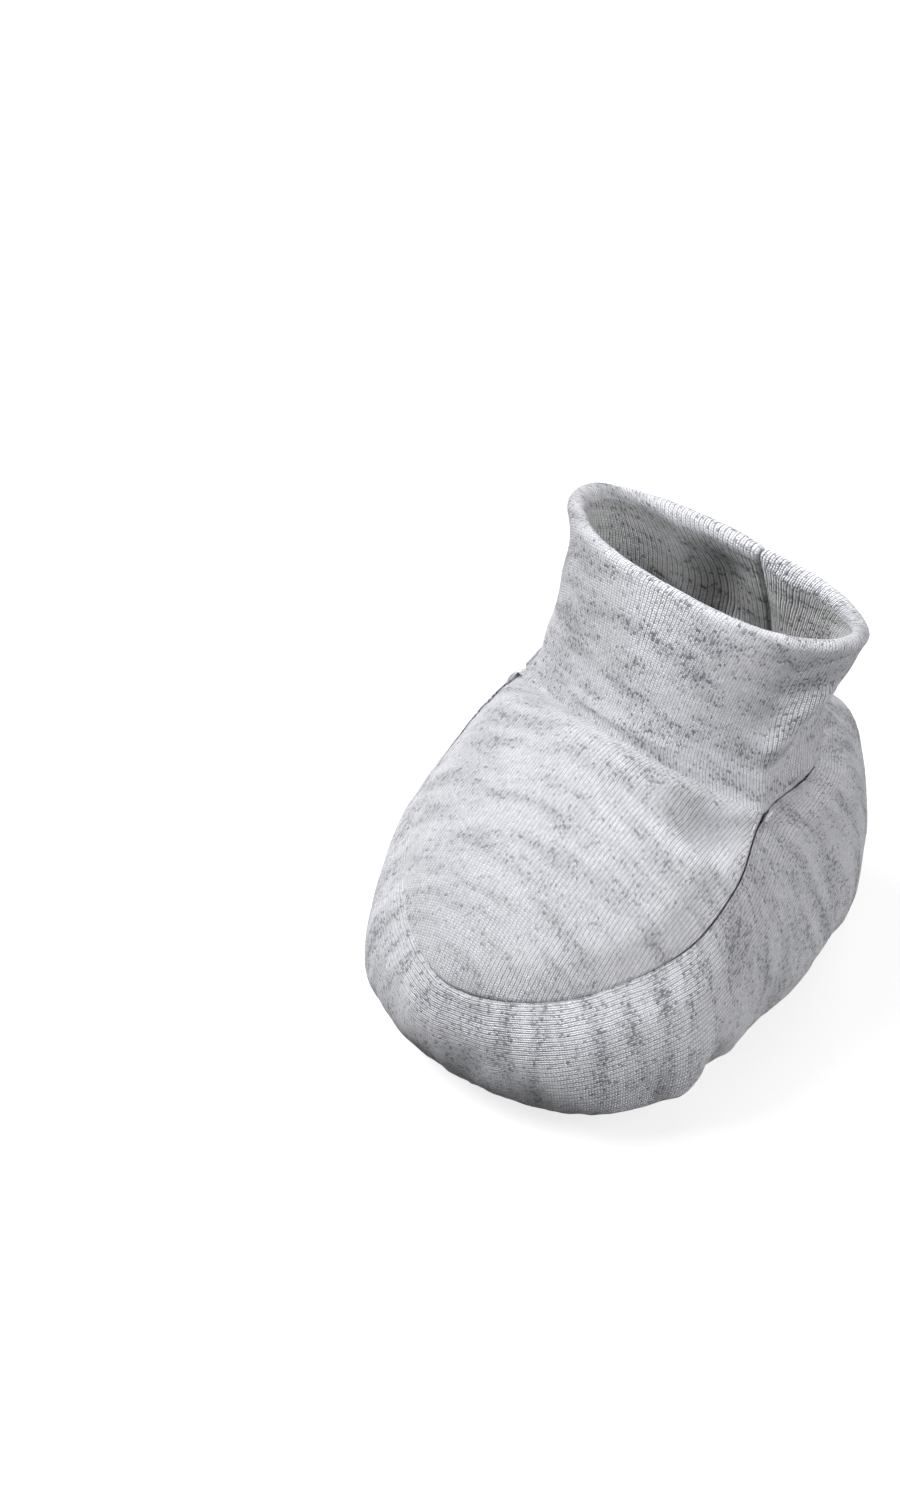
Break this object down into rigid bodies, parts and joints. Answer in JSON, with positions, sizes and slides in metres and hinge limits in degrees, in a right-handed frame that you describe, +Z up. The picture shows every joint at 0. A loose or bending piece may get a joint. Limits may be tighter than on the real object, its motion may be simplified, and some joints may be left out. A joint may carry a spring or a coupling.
{
  "type": "baby bootie",
  "caption": "Soft padded marl-jersey baby bootie with a U-shaped vamp, a wrap-round side band, a soft sole and a folded ankle cuff.",
  "frame": {"origin": "centre of the bounding box in plan, at the underside of the sole", "axes": "+Y from toe to heel, +X across the foot, +Z up out of the ankle opening"},
  "size_m": [0.0685, 0.1021, 0.0774],
  "materials": {
    "jersey": "marl cotton jersey, matt, fine ribs",
    "lining": "plain light cotton jersey, matt",
    "wadding": "lofty polyester wadding",
    "thread": "twisted polyester sewing thread"
  },
  "bodies": {
    "foot": {"vamp_shell": "jersey", "side_band_shell": "jersey", "sole_shell": "jersey", "vamp_wadding": "wadding", "side_band_wadding": "wadding", "sole_wadding": "wadding", "vamp_lining": "lining", "side_band_lining": "lining", "sole_lining": "lining", "vamp_seam_thread": "thread", "collar_seam_thread": "thread", "sole_seam_thread": "thread", "heel_seam_thread": "thread", "lining_vamp_seam_thread": "thread", "lining_sole_seam_thread": "thread", "lining_heel_seam_thread": "thread"},
    "cuff": {"ankle_cuff": "jersey", "cuff_seam_thread": "thread"}
  },
  "joints": [
    {"name": "ankle_flex", "type": "hinge", "parent": "foot", "child": "cuff", "pos_m": [0, 0.016, 0.05], "axis": [1, 0, 0], "range_deg": [-15, 20], "stiffness_Nm_per_rad": 0.02, "deforming": ["ankle_cuff", "cuff_seam_thread"]}
  ]
}
